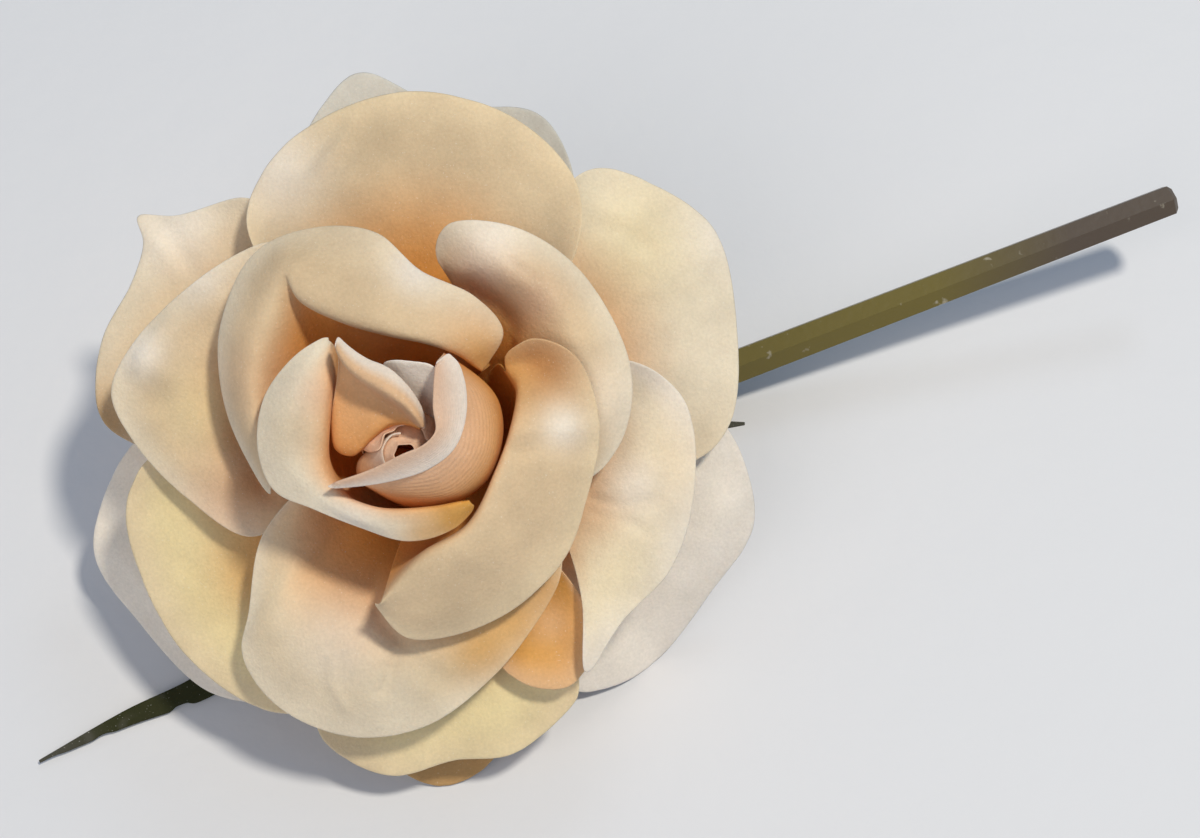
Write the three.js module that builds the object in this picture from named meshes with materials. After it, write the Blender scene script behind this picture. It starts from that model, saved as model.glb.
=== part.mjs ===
// A crepe paper rose lying on a table, face up, on its lower petals, one sepal tip and the bent stem.
// Millimetres, +Z up. The flower is laid out in its own frame first: its axis is +Z, azimuths are
// degrees counter-clockwise from +X, and heights are measured from the top of the green hip.
// The whole flower is then leaned forward until its lower petals lie on the table at z = 0.

import * as THREE from "three";

// Paper and clearances
const PAPER = 0.45; // thickness of one petal
const SEPAL_PAPER = 0.6; // two layers of green paper glued together
const GLUE_GAP = 0.3; // clearance between a piece and what it is glued to

// Lie of the flower
const HEAD_LEAN = 28; // degrees between the flower's axis and straight up

// Paper cone that the petals are glued round
const CONE_FOOT_RADIUS = 6.2;
const CONE_TIP_RADIUS = 2.0;
const CONE_FOOT_HEIGHT = 1.5;
const CONE_TIP_HEIGHT = 26;
const SEAT_FOOT_HEIGHT = 3.6; // where the lowest petals are glued
const SEAT_STEP = 1.15; // each further layer is glued this much higher

// Green hip under the petals
const HIP_RADIUS = 5.6;
const HIP_LENGTH = 9.5;
const HIP_NECK_RADIUS = 3.4;
const HIP_RIM_RADIUS = 6.6;
const HIP_BULGE = [[0.6, 0.8], [1, 0.5], [0.7, 0.15]]; // share of the bulge at shares of the length

// Stem
const STEM_WIDTH_AT_HIP = 5.5;
const STEM_WIDTH_AT_END = 4.7;
const STEM_SIDES = 6;
const STEM_CHAMFER = 0.7;
const STEM_STRAIGHT_LENGTH = 106; // from where it leaves the table to the cut end
const STEM_HEADING = 18.9; // degrees from +X, seen from above
const STEM_RISE = 9.3; // degrees above the table
const STEM_TOUCHDOWN = [8.5, 3.6]; // where the bend first lies on the table
const STEM_LIFTOFF = [20, 8.4]; // where it leaves the table again

// Sepals
const SEPAL_WIDTH = 5.2;
const SEPAL_TIP_WIDTH = 0.5;
const SEPAL_WAIST = 0.3; // where on its swell a sepal leaves the hip: 0 is a point, 0.5 the full width

// Reach of a full outer petal from the axis
const FULL_REACH = 45;

// A petal's side edges are glued at a smaller angle round the cone than its rim spans
const SEAT_SHARE = 0.7;

// Rim corners, unless a petal gives its own: how much of the width is rounded off, and how deep
const PETAL_CORNER = [0.1, 0.22];

// Drawn sizes of the head are multiplied by these
const HEAD_WIDTH = 1;
const HEAD_HEIGHT = 1;

// Mesh fineness
const STEPS_ACROSS_PETAL = 20;
const STEPS_ALONG_PETAL = 8;
const STEPS_ROUND_ROLL = 36;
const STEPS_UP_ROLL = 3;
const STEPS_ALONG_SEPAL = 16;
const STEPS_ACROSS_SEPAL = 2;
const STEPS_ALONG_STEM = 44;
const SIDES_OF_TURNED = 24;
const SLOPE_STEP = 1e-3; // share of a sheet stepped aside to find its slope

const petalPaper = new THREE.MeshStandardMaterial({ color: 0xe9d3b4, roughness: 0.85, metalness: 0 });
const budPaper = new THREE.MeshStandardMaterial({ color: 0xe2b98f, roughness: 0.85, metalness: 0 });
const sepalPaper = new THREE.MeshStandardMaterial({ color: 0x3a3f24, roughness: 0.8, metalness: 0 });
const stemTape = new THREE.MeshStandardMaterial({ color: 0x6b6330, roughness: 0.55, metalness: 0 });

const radians = THREE.MathUtils.degToRad;
const mix = THREE.MathUtils.lerp;

// A point of the flower from its azimuth in degrees, its distance from the axis and its height
function polar([azimuth, radius, height]) {
  return new THREE.Vector3(
    HEAD_WIDTH * radius * Math.cos(radians(azimuth)),
    HEAD_WIDTH * radius * Math.sin(radians(azimuth)),
    HEAD_HEIGHT * height,
  );
}

// A smooth line through a few such points
function smoothLine(points) {
  return new THREE.CatmullRomCurve3(points.map(polar), false, "centripetal");
}

// A closed sheet of even thickness on either side of surface(u, v), with u and v from 0 to 1
function sheet(surface, thickness, stepsU, stepsV) {
  const positions = [];
  const indices = [];
  const rowLength = stepsV + 1;
  const layerSize = (stepsU + 1) * rowLength;
  for (const side of [1, -1]) {
    for (let i = 0; i <= stepsU; i += 1) {
      for (let j = 0; j <= stepsV; j += 1) {
        const u = i / stepsU;
        const v = j / stepsV;
        const alongU = surface(Math.min(u + SLOPE_STEP, 1), v).sub(surface(Math.max(u - SLOPE_STEP, 0), v));
        const alongV = surface(u, Math.min(v + SLOPE_STEP, 1)).sub(surface(u, Math.max(v - SLOPE_STEP, 0)));
        const normal = alongU.cross(alongV).normalize();
        const point = surface(u, v).addScaledVector(normal, (side * thickness) / 2);
        positions.push(point.x, point.y, point.z);
      }
    }
  }
  const corner = (i, j, layer) => layer * layerSize + i * rowLength + j;
  const quad = (a, b, c, d) => indices.push(a, b, c, a, c, d);
  for (let i = 0; i < stepsU; i += 1) {
    for (let j = 0; j < stepsV; j += 1) {
      quad(corner(i, j, 0), corner(i + 1, j, 0), corner(i + 1, j + 1, 0), corner(i, j + 1, 0));
      quad(corner(i, j, 1), corner(i, j + 1, 1), corner(i + 1, j + 1, 1), corner(i + 1, j, 1));
    }
  }
  for (let i = 0; i < stepsU; i += 1) {
    quad(corner(i, 0, 0), corner(i, 0, 1), corner(i + 1, 0, 1), corner(i + 1, 0, 0));
    quad(corner(i, stepsV, 0), corner(i + 1, stepsV, 0), corner(i + 1, stepsV, 1), corner(i, stepsV, 1));
  }
  for (let j = 0; j < stepsV; j += 1) {
    quad(corner(0, j, 0), corner(0, j + 1, 0), corner(0, j + 1, 1), corner(0, j, 1));
    quad(corner(stepsU, j, 0), corner(stepsU, j, 1), corner(stepsU, j + 1, 1), corner(stepsU, j + 1, 0));
  }
  const geometry = new THREE.BufferGeometry();
  geometry.setAttribute("position", new THREE.Float32BufferAttribute(positions, 3));
  geometry.setIndex(indices);
  geometry.computeVertexNormals();
  return geometry;
}

function namedMesh(name, geometry, material) {
  const mesh = new THREE.Mesh(geometry, material);
  mesh.name = name;
  return mesh;
}

// Where a layer is glued to the cone
function seatOf(layer) {
  const height = SEAT_FOOT_HEIGHT + layer * SEAT_STEP;
  const share = (height - CONE_FOOT_HEIGHT) / (CONE_TIP_HEIGHT - CONE_FOOT_HEIGHT);
  const radius = mix(CONE_FOOT_RADIUS, CONE_TIP_RADIUS, share) + GLUE_GAP + PAPER / 2;
  return { radius, height };
}

// How far out a petal reaches at u: its rim is rounded off towards both sides
function reachAt(u, [share, drop]) {
  const t = Math.max(0, 1 - Math.min(u, 1 - u) / share);
  return 1 - drop * (1 - Math.sqrt(1 - t * t));
}

// A petal runs from its seat through its inner lines to its rim. Each line is a few points, all
// listed in the same direction round the flower.
function petalSurface({ layer, lines, corner = PETAL_CORNER }) {
  const rim = lines[lines.length - 1];
  const seat = seatOf(layer);
  const middle = (rim[0][0] + rim[rim.length - 1][0]) / 2;
  const seatLine = rim.map(([azimuth]) => [
    middle + (azimuth - middle) * SEAT_SHARE,
    seat.radius,
    seat.height,
  ]);
  const curves = [seatLine, ...lines].map(smoothLine);
  return (u, v) => {
    const ribs = curves.map((curve) => curve.getPoint(u));
    return new THREE.CatmullRomCurve3(ribs, false, "centripetal").getPoint(v * reachAt(u, corner));
  };
}

// A line between the seat and the rim, at a share of the way out. It rises above the straight way,
// by the full rise on a petal that reaches out FULL_REACH and by less on a shorter one.
function between(rim, layer, share, rise) {
  const seat = seatOf(layer);
  return rim.map(([azimuth, radius, height]) => [
    azimuth,
    mix(seat.radius, radius, share),
    mix(seat.height, height, share) + (rise * radius) / FULL_REACH,
  ]);
}

// An open petal: the shoulder is a line a third of the way out, the face one two thirds out.
// Tucked, these two start some degrees inside the rim, which turns the petal's first side edge.
const SHOULDER_SHARE = 0.34;
const FACE_SHARE = 0.7;

function openPetal(layer, shoulderRise, faceRise, rim, { tuck = 0 } = {}) {
  const inner = (share, rise) => {
    const turn = (tuck * (1 - share)) / (1 - FACE_SHARE);
    return between(rim, layer, share, rise).map(([azimuth, radius, height], i) => {
      const fromEnd = 1 - i / (rim.length - 1);
      return [azimuth + turn * fromEnd * fromEnd, radius, height];
    });
  };
  return { layer, lines: [inner(SHOULDER_SHARE, shoulderRise), inner(FACE_SHARE, faceRise), rim] };
}

// The lowest ring. The second petal's corner is the lowest point of the flower.
const BACK_PETALS = {
  back_petal_top: openPetal(0, 2, 2.5, [
    [118, 45, 12], [110, 51, 9], [102, 55.5, 6], [89, 49, 8], [72, 50.5, 6], [55, 41, 12],
  ]),
  back_petal_right: openPetal(0, 3.5, 5.5, [
    [-66, 45, 5], [-54, 48.5, 0.5], [-46, 49.5, -2.3], [-31, 49, 2], [-16, 50.5, 6], [9, 43, 12],
  ]),
  back_petal_bottom: openPetal(0, 2.5, 3.5, [
    [-106, 45, 12], [-97, 51, 9.5], [-89, 54, 7.5], [-82, 52, 8], [-73, 45, 12],
  ]),
  back_petal_left: openPetal(1, 3, 4.5, [
    [-183, 42, 9], [-172, 49.5, 6], [-160, 56, 3], [-147, 54.5, 3], [-131, 53, 5], [-115, 46, 10],
  ]),
  back_petal_upper_left: openPetal(2, 3, 3.5, [
    [186, 42.5, 18], [177, 49, 15.5], [165, 50.5, 14.5], [154, 49.5, 14], [147, 51, 13.5], [144, 54, 13],
    [140, 49.5, 13.5], [133, 46, 14.5], [124, 43, 18],
  ]),
};

const OUTER_PETALS = {
  outer_petal_upper_right: openPetal(3, 5, 5, [
    [-10, 39, 19], [2, 44.5, 16], [17, 47.5, 14], [35, 51.5, 13], [48, 49, 14], [57, 46, 16],
    [62, 40.5, 19],
  ]),
  outer_petal_bottom: openPetal(3, 5, 5, [
    [-114, 46, 18], [-105, 50, 15.5], [-96, 51.5, 15], [-86, 49, 15], [-76, 49.5, 15], [-65, 46.5, 15.5],
    [-57, 43.5, 18],
  ]),
  outer_petal_top: openPetal(5, 6, 5, [
    [135, 36.5, 25], [127, 42.5, 21], [115, 47, 19], [95, 49.5, 19], [76, 47.5, 19], [60, 42.5, 20],
    [47, 33.5, 25],
  ]),
  outer_petal_lower_left: openPetal(4, 6, 5, [
    [-178, 39, 24], [-166, 45, 21], [-154, 47, 19], [-138, 48.5, 18], [-121, 47.5, 19], [-107, 43, 21],
  ]),
  outer_petal_lower_right: openPetal(4, 6, 4, [
    [-74, 35, 22.5], [-68, 40, 21.5], [-61, 42.5, 21], [-53, 40, 21.5], [-46, 33, 23],
  ]),
  outer_petal_right: openPetal(5, 6, 5, [
    [-61, 44.5, 24], [-45, 39.5, 24], [-29, 40.5, 24], [-12, 39.5, 24], [6, 37.5, 24.5], [22, 31, 28],
  ], { tuck: 14 }),
};

const MIDDLE_PETALS = {
  middle_petal_left: openPetal(6, 6.5, 7, [
    [215, 23, 27], [211, 29.5, 26], [197, 35, 25], [183, 41.5, 24.5], [173, 45.5, 24], [162, 43, 25.5],
    [147, 38.5, 28], [134, 35.5, 29.5], [121, 32.5, 31],
  ]),
  middle_petal_lower: openPetal(8, 6.5, 8, [
    [206, 21.5, 31], [215, 28.5, 28], [226, 36, 26], [231, 41.5, 25], [242, 45, 24], [256, 45.5, 23],
    [270, 42.5, 24], [287, 36, 25.5], [307, 30, 28], [323, 27, 30],
  ]),
  middle_petal_upper_right: {
    layer: 7,
    corner: [0.07, 0.2],
    lines: [
      [[86, 16, 26.5], [47, 16, 26.5], [16, 16, 26], [-20, 16, 26]],
      [[76, 19, 28], [63, 19.5, 29.5], [50, 19.5, 30.5], [34, 17.5, 30.5], [8, 17, 29.5], [-20, 19, 28]],
      [[83, 23, 33], [67, 25, 36.5], [49, 26, 37.5], [27, 24.5, 35.5], [3, 24, 34], [-19, 22.5, 32]],
      [
        [87, 25, 33], [81, 29, 36], [65, 31, 36], [49, 31.5, 34.5], [32, 31, 34], [15, 30.5, 32.5],
        [-1, 28.5, 31], [-18, 25, 31],
      ],
    ],
  },
  middle_petal_upper_left: {
    layer: 9,
    corner: [0.03, 0.1],
    lines: [
      [[200, 16.5, 28], [165, 17, 28], [130, 16.5, 28], [95, 14, 28], [60, 13.5, 28], [44, 13, 28]],
      [
        [199, 21, 36], [177, 22, 37.5], [157, 24, 38.5], [141, 25.5, 39.5], [130, 27.5, 40.5],
        [131, 24.5, 41], [124, 18.5, 41], [107, 14, 41], [84, 12.3, 41], [62, 12, 39], [43, 12, 35.5],
      ],
      [
        [206, 23, 34], [175, 27, 33], [154, 31, 33.5], [133, 33.5, 35], [115, 31, 36.5], [101, 27.5, 37.5],
        [89, 22, 38.5], [66, 20, 37.5], [49, 18, 36.5], [44, 13, 35],
      ],
    ],
  },
  middle_petal_right: {
    layer: 10,
    corner: [0.03, 0.1],
    lines: [
      [[42, 14, 28], [5, 14.5, 28], [-40, 15, 28], [-75, 15.5, 28], [-102, 17, 28]],
      [
        [34, 14.5, 34], [25, 15, 36], [6, 13.4, 39], [-24, 12.4, 40], [-61, 15, 40], [-88, 17.5, 39.5],
        [-102, 24, 37.5],
      ],
      [
        [38, 15, 35], [30, 18, 35.5], [9, 20, 37.5], [-21, 19.5, 38], [-57, 20.5, 37.5],
        [-87, 24.5, 36.5], [-103, 24.5, 36.5],
      ],
      [
        [42, 16, 36], [38, 20.5, 38], [25, 24, 37.5], [2, 25, 35.5], [-21, 25, 34], [-43, 27, 33],
        [-69, 28.5, 32], [-93, 29, 33], [-105, 24.5, 35.5],
      ],
    ],
  },
};

// The petals of the bud stand up and fold out at their crests, so their third line is the crest
const BUD_PETALS = {
  bud_petal_left: {
    layer: 11,
    corner: [0.03, 0.15],
    lines: [
      [[138, 13, 31], [192, 13, 31], [246, 13, 31], [300, 12.8, 31]],
      [
        [133, 16.3, 42.5], [153, 13, 43], [178, 12, 43], [199, 13, 42.5], [217, 13.3, 42.7],
        [243, 11.8, 43], [281, 10.7, 43], [308, 12, 41],
      ],
      [
        [133, 16.7, 43], [154, 16.7, 43.6], [175, 16.7, 43.6], [195, 16.8, 43.2], [213, 15.6, 43],
        [245, 13.5, 43], [280, 12.7, 42.3], [308, 12.5, 41],
      ],
      [
        [131, 17.3, 43], [148, 19, 42.3], [168, 21, 41], [187, 21.5, 41], [203, 20.8, 41], [217, 17.4, 42],
        [240, 15, 41.7], [267, 15, 41], [291, 14.3, 40], [309, 13.2, 39.5],
      ],
    ],
  },
  bud_petal_right: {
    layer: 12,
    corner: [0.04, 0.25],
    lines: [
      [[72, 11, 31], [19, 11.2, 31], [-34, 11.3, 31], [-88, 10.7, 31], [-142, 10.9, 31]],
      [
        [70, 10.8, 42], [26, 10.4, 42.5], [-17, 10.2, 42.5], [-58, 9.7, 42.5], [-102, 9, 42],
        [-144, 11, 41.5],
      ],
      [
        [69, 9.5, 48.5], [62, 6.8, 49], [44, 4.3, 49], [0, 3.4, 49], [-44, 2.6, 49], [-109, 3.3, 48.8],
        [-136, 7.5, 47.5], [-147, 13.5, 45.6],
      ],
      [
        [67, 11.6, 47], [55, 11, 47], [36, 9.1, 47], [10, 7.3, 47], [-23, 6.2, 47], [-67, 5.6, 47],
        [-118, 7.8, 46.2], [-147, 14.4, 45],
      ],
    ],
  },
  bud_petal_back: {
    layer: 13,
    corner: [0.15, 0.1],
    lines: [
      [[90, 4.3, 30], [60, 4.3, 30], [30, 4.3, 30]],
      [[55, 1.7, 38.5], [35, 2.2, 38.5], [12, 3.2, 38.5]],
      [[119, 10.2, 44], [105, 9.8, 45.3], [90, 9.3, 45.5], [75, 9.2, 45.5], [61, 8.6, 44.5]],
    ],
  },
  bud_petal_inner: {
    layer: 15,
    corner: [0.06, 0.15],
    lines: [
      [[165, 3.4, 30], [140, 3, 30], [110, 2.6, 30], [80, 2.4, 30]],
      [[172, 10.2, 35], [185, 9.6, 35], [189, 8, 35], [178, 5, 35], [140, 2.4, 35], [80, 0.8, 35]],
      [
        [176, 11.5, 40], [193, 11.2, 39.5], [201, 9.2, 40], [187, 5.6, 42], [163, 3.3, 42.7],
        [118, 1.1, 43.2], [20, 1, 43.8],
      ],
      [
        [136, 13.8, 43.5], [138, 11.4, 43.5], [139, 9, 43.5], [136, 6, 43.5], [127, 3.6, 43.5],
        [110, 1.8, 43.5], [60, 0.9, 43.6],
      ],
      [
        [132, 15, 47.5], [134, 12.3, 48], [132, 9.5, 48.2], [122, 6.2, 47.9], [103, 3.6, 47.4],
        [66, 1.8, 46.5], [10, 1.5, 45.2],
      ],
      [
        [128, 16.5, 46.5], [126, 13.8, 47.1], [121, 11.2, 47.3], [110, 9, 46.8], [96, 6.2, 46.1],
        [72, 3.6, 45.4], [10, 2, 44.4],
      ],
    ],
  },
  bud_petal_heart: {
    layer: 16,
    corner: [0.1, 0.2],
    lines: [
      [[215, 5.2, 30], [198, 5.1, 30], [182, 4.6, 30]],
      [[231, 9.2, 35], [217, 10.4, 35], [208, 9.4, 35.5], [201, 6.4, 37.5], [190, 3.6, 40]],
      [[250, 5.6, 41], [233, 6, 41.3], [212, 5, 42], [191, 3, 42.4], [192, 1.2, 42.8]],
    ],
  },
};

// Rolled heart of the bud: one strip of paper wound into a spiral about its own axis
const ROLL = {
  axis: [-0.6, -2.9], // x and y
  startAzimuth: -60,
  turn: 560,
  innerRadius: 0.55,
  outerRadius: 1.8,
  top: 43.2,
  slope: 1.4,
};

function rolledHeart() {
  const foot = CONE_TIP_HEIGHT + GLUE_GAP;
  const surface = (u, v) => {
    const azimuth = ROLL.startAzimuth + ROLL.turn * u;
    const radius = mix(ROLL.innerRadius, ROLL.outerRadius, u);
    const point = polar([azimuth, radius, mix(foot, ROLL.top - ROLL.slope * u, v)]);
    return point.add(new THREE.Vector3(...ROLL.axis, 0).multiplyScalar(HEAD_WIDTH));
  };
  return sheet(surface, PAPER, STEPS_ROUND_ROLL, STEPS_UP_ROLL);
}

// Turned solid about the flower's axis from [radius, height] pairs that start and end on the axis
function turned(profile) {
  const outline = profile.map(([radius, height]) => {
    return new THREE.Vector2(HEAD_WIDTH * radius, HEAD_HEIGHT * height);
  });
  return new THREE.LatheGeometry(outline, SIDES_OF_TURNED).rotateX(Math.PI / 2);
}

const flower = new THREE.Group();
for (const petals of [BACK_PETALS, OUTER_PETALS, MIDDLE_PETALS]) {
  for (const [name, petal] of Object.entries(petals)) {
    const geometry = sheet(petalSurface(petal), PAPER, STEPS_ACROSS_PETAL, STEPS_ALONG_PETAL);
    flower.add(namedMesh(name, geometry, petalPaper));
  }
}
for (const [name, petal] of Object.entries(BUD_PETALS)) {
  const geometry = sheet(petalSurface(petal), PAPER, STEPS_ACROSS_PETAL, STEPS_ALONG_PETAL);
  flower.add(namedMesh(name, geometry, budPaper));
}
flower.add(namedMesh("bud_roll", rolledHeart(), budPaper));

// Cone of rolled paper that carries the petals, and the green hip under it
const coneProfile = [
  [0, GLUE_GAP],
  [CONE_FOOT_RADIUS, GLUE_GAP],
  [CONE_FOOT_RADIUS, CONE_FOOT_HEIGHT],
  [CONE_TIP_RADIUS, CONE_TIP_HEIGHT],
  [0, CONE_TIP_HEIGHT],
];
flower.add(namedMesh("petal_cone", turned(coneProfile), budPaper));

const hipProfile = [
  [0, -HIP_LENGTH],
  [HIP_NECK_RADIUS, -HIP_LENGTH],
  ...HIP_BULGE.map(([bulge, depth]) => [mix(HIP_NECK_RADIUS, HIP_RADIUS, bulge), -depth * HIP_LENGTH]),
  [HIP_RIM_RADIUS, 0],
  [0, 0],
];
flower.add(namedMesh("rose_hip", turned(hipProfile), sepalPaper));

// Sepals. Each follows a few points out from under the hip's rim.
const SEPALS = {
  sepal_lower_left: [
    [-126, 6.6, -1.6], [-127, 20, 0.6], [-129, 38, 0.8], [-132, 52.5, 1.2], [-137, 65, 3.4],
    [-140, 78.5, 6.2],
  ],
  sepal_right: [[-2, 6.6, -1.6], [-2, 18, -2], [0, 34, -4], [1, 48, -8]],
  sepal_upper_right: [[66, 6.6, -1.6], [68, 18, 0.2], [72, 32, 1.2], [75, 46, -2]],
  sepal_upper_left: [[142, 6.6, -1.6], [140, 20, 0.6], [138, 34, 1.6], [134, 45, -1]],
  sepal_bottom: [[-66, 6.6, -1.6], [-65, 16, -1], [-62, 28, -2.4], [-58, 38, -3]],
};

function sepalSurface(points) {
  const middle = smoothLine(points);
  return (u, v) => {
    const across = middle.getTangent(u).cross(new THREE.Vector3(0, 0, 1)).normalize();
    const swell = Math.sin(Math.PI * mix(SEPAL_WAIST, 1, u));
    const width = mix(SEPAL_TIP_WIDTH, SEPAL_WIDTH, swell);
    return middle.getPoint(u).addScaledVector(across, (0.5 - v) * width);
  };
}

function sepalGeometry(points) {
  return sheet(sepalSurface(points), SEPAL_PAPER, STEPS_ALONG_SEPAL, STEPS_ACROSS_SEPAL);
}

for (const [name, points] of Object.entries(SEPALS)) {
  flower.add(namedMesh(name, sepalGeometry(points), sepalPaper));
}

// The flower leans forward and stands on the table
const laid = new THREE.Group();
laid.add(flower);
flower.rotation.x = radians(HEAD_LEAN);
laid.updateMatrixWorld(true);
flower.position.z = -new THREE.Box3().setFromObject(flower, true).min.z;
laid.updateMatrixWorld(true);

// Stem: down out of the hip, round a bend, along the table and up again to its cut end
function stemPath() {
  const radius = STEM_WIDTH_AT_HIP / 2;
  const along = new THREE.Vector3(
    Math.cos(radians(STEM_RISE)) * Math.cos(radians(STEM_HEADING)),
    Math.cos(radians(STEM_RISE)) * Math.sin(radians(STEM_HEADING)),
    Math.sin(radians(STEM_RISE)),
  );
  const belowHip = (drop) => flower.localToWorld(new THREE.Vector3(0, 0, -HEAD_HEIGHT * HIP_LENGTH - drop));
  const touchdown = new THREE.Vector3(...STEM_TOUCHDOWN, radius);
  const liftoff = new THREE.Vector3(...STEM_LIFTOFF, radius);
  const beyond = (share) => liftoff.clone().addScaledVector(along, share * STEM_STRAIGHT_LENGTH);
  const hanging = [belowHip(GLUE_GAP), belowHip(GLUE_GAP + radius)];
  const points = [...hanging, touchdown, liftoff, beyond(0.25), beyond(0.75), beyond(1)];
  const path = new THREE.CatmullRomCurve3(points, false, "centripetal");
  const onTable = new THREE.Curve();
  onTable.getPoint = (share) => {
    const point = path.getPoint(share);
    point.z = Math.max(point.z, radius);
    return point;
  };
  return onTable;
}

// A tube of flat sides along the path, one of them facing down where it lies, tapering to its end
function stemGeometry() {
  const path = stemPath();
  const length = path.getLength();
  const rings = [];
  let up = new THREE.Vector3(0, 0, 1);
  const stations = [];
  for (let i = 0; i <= STEPS_ALONG_STEM; i += 1) {
    const share = i / STEPS_ALONG_STEM;
    stations.push({ share, width: mix(STEM_WIDTH_AT_HIP, STEM_WIDTH_AT_END, share) });
  }
  const last = stations.pop();
  stations.push({ share: 1 - STEM_CHAMFER / length, width: last.width });
  stations.push({ share: 1, width: last.width - 2 * STEM_CHAMFER });
  for (const { share, width } of stations.reverse()) {
    const tangent = path.getTangentAt(share);
    up = up.addScaledVector(tangent, -up.dot(tangent)).normalize();
    const across = tangent.clone().cross(up);
    const corner = width / 2 / Math.cos(Math.PI / STEM_SIDES);
    const ring = [];
    for (let k = 0; k < STEM_SIDES; k += 1) {
      const angle = (2 * Math.PI * k) / STEM_SIDES;
      ring.push(
        path.getPointAt(share)
          .addScaledVector(across, corner * Math.cos(angle))
          .addScaledVector(up, corner * Math.sin(angle)),
      );
    }
    rings.push(ring);
  }
  const positions = rings.flat().flatMap((point) => point.toArray());
  const indices = [];
  for (let i = 0; i < rings.length - 1; i += 1) {
    for (let k = 0; k < STEM_SIDES; k += 1) {
      const a = i * STEM_SIDES + k;
      const b = i * STEM_SIDES + ((k + 1) % STEM_SIDES);
      indices.push(a, b, b + STEM_SIDES, a, b + STEM_SIDES, a + STEM_SIDES);
    }
  }
  const lastRing = (rings.length - 1) * STEM_SIDES;
  for (let k = 1; k < STEM_SIDES - 1; k += 1) {
    indices.push(0, k + 1, k);
    indices.push(lastRing, lastRing + k, lastRing + k + 1);
  }
  const geometry = new THREE.BufferGeometry();
  geometry.setAttribute("position", new THREE.Float32BufferAttribute(positions, 3));
  geometry.setIndex(indices);
  geometry.computeVertexNormals();
  return geometry;
}
laid.add(namedMesh("stem", stemGeometry(), stemTape));

// The origin is on the table, under the middle of the whole rose
const rose = new THREE.Group();
rose.add(laid);
const middle = new THREE.Box3().setFromObject(rose, true).getCenter(new THREE.Vector3());
laid.position.set(-middle.x, -middle.y, 0);

export default rose;
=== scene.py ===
# A crepe paper rose lying face up on a pale table, in metres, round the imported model.
import math
import bmesh
import bpy
from mathutils import Matrix, Vector, noise


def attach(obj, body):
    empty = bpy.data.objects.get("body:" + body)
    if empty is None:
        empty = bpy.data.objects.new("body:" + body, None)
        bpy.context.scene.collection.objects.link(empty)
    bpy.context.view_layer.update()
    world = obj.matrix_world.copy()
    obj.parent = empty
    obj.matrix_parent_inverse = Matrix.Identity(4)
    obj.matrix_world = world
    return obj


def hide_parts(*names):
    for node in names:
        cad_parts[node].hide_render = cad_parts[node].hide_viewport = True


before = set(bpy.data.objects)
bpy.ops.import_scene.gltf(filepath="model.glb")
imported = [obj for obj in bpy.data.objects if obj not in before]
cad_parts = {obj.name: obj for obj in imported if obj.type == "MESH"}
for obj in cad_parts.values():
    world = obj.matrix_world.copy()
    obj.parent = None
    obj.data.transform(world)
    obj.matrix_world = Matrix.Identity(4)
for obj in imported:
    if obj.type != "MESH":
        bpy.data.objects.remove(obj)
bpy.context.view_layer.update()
print("rose: model loaded,", len(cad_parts), "nodes")

# Where the flower's own frame stands: its axis leans towards the viewer, and its units are mm
millimetre = 0.001
flowerPlace = {"origin": (-0.02964, 0.0036, 0.01917), "lean": 28.0}
toTable = (
    Matrix.Translation(flowerPlace["origin"])
    @ Matrix.Rotation(math.radians(flowerPlace["lean"]), 4, "X")
    @ Matrix.Scale(millimetre, 4)
)


# The camera looks straight down the flower's axis, from a little to the right of it
cameraFacts = {
    "place": (25.0, 1.57, 325.0), "focalPixels": 2100.0, "frameWidth": 1200.0, "sensor": 36.0,
    "clip": (0.01, 20),
}


def setCamera():
    data = bpy.data.cameras.new("roseCamera")
    data.sensor_width = cameraFacts["sensor"]
    data.lens = cameraFacts["focalPixels"] / cameraFacts["frameWidth"] * cameraFacts["sensor"]
    data.clip_start, data.clip_end = cameraFacts["clip"]
    camera = bpy.data.objects.new("roseCamera", data)
    bpy.context.collection.objects.link(camera)
    camera.location = toTable @ Vector(cameraFacts["place"])
    camera.rotation_euler = (math.radians(flowerPlace["lean"]), 0, 0)
    bpy.context.scene.camera = camera


setCamera()


# Smooth lines through points given as azimuth in degrees, distance from the axis and height
shortestSpan = 1e-4


def polar(azimuth, radius, height):
    angle = math.radians(azimuth)
    return Vector((radius * math.cos(angle), radius * math.sin(angle), height))


def curveAt(points, share):
    spans = len(points) - 1
    place = min(max(share, 0.0), 1.0) * spans
    index = min(int(place), spans - 1)
    weight = place - index
    p1 = points[index]
    p2 = points[index + 1]
    p0 = points[index - 1] if index > 0 else p1 * 2 - p2
    p3 = points[index + 2] if index + 2 <= spans else p2 * 2 - p1
    d1 = max((p2 - p1).length ** 0.5, shortestSpan)
    d0 = (p1 - p0).length ** 0.5
    d2 = (p3 - p2).length ** 0.5
    d0 = d0 if d0 > shortestSpan else d1
    d2 = d2 if d2 > shortestSpan else d1
    t1 = ((p1 - p0) / d0 - (p2 - p0) / (d0 + d1) + (p2 - p1) / d1) * d1
    t2 = ((p2 - p1) / d1 - (p3 - p1) / (d1 + d2) + (p3 - p2) / d2) * d1
    a = p1 * 2 - p2 * 2 + t1 + t2
    b = p2 * 3 - p1 * 3 - t1 * 2 - t2
    return ((a * weight + b) * weight + t1) * weight + p1


def mix(a, b, share):
    return a + (b - a) * share


def smoothStep(low, high, x):
    t = min(max((x - low) / (high - low), 0.0), 1.0)
    return t * t * (3 - 2 * t)


# The paper cone that the petals are glued round, layer by layer
seatFacts = {
    "coneFoot": (6.2, 1.5), "coneTip": (2.0, 26.0), "firstHeight": 3.6, "step": 1.15,
    "glueGap": 0.3, "paper": 0.45, "fullReach": 45.0, "seatShare": 0.7,
}


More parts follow.
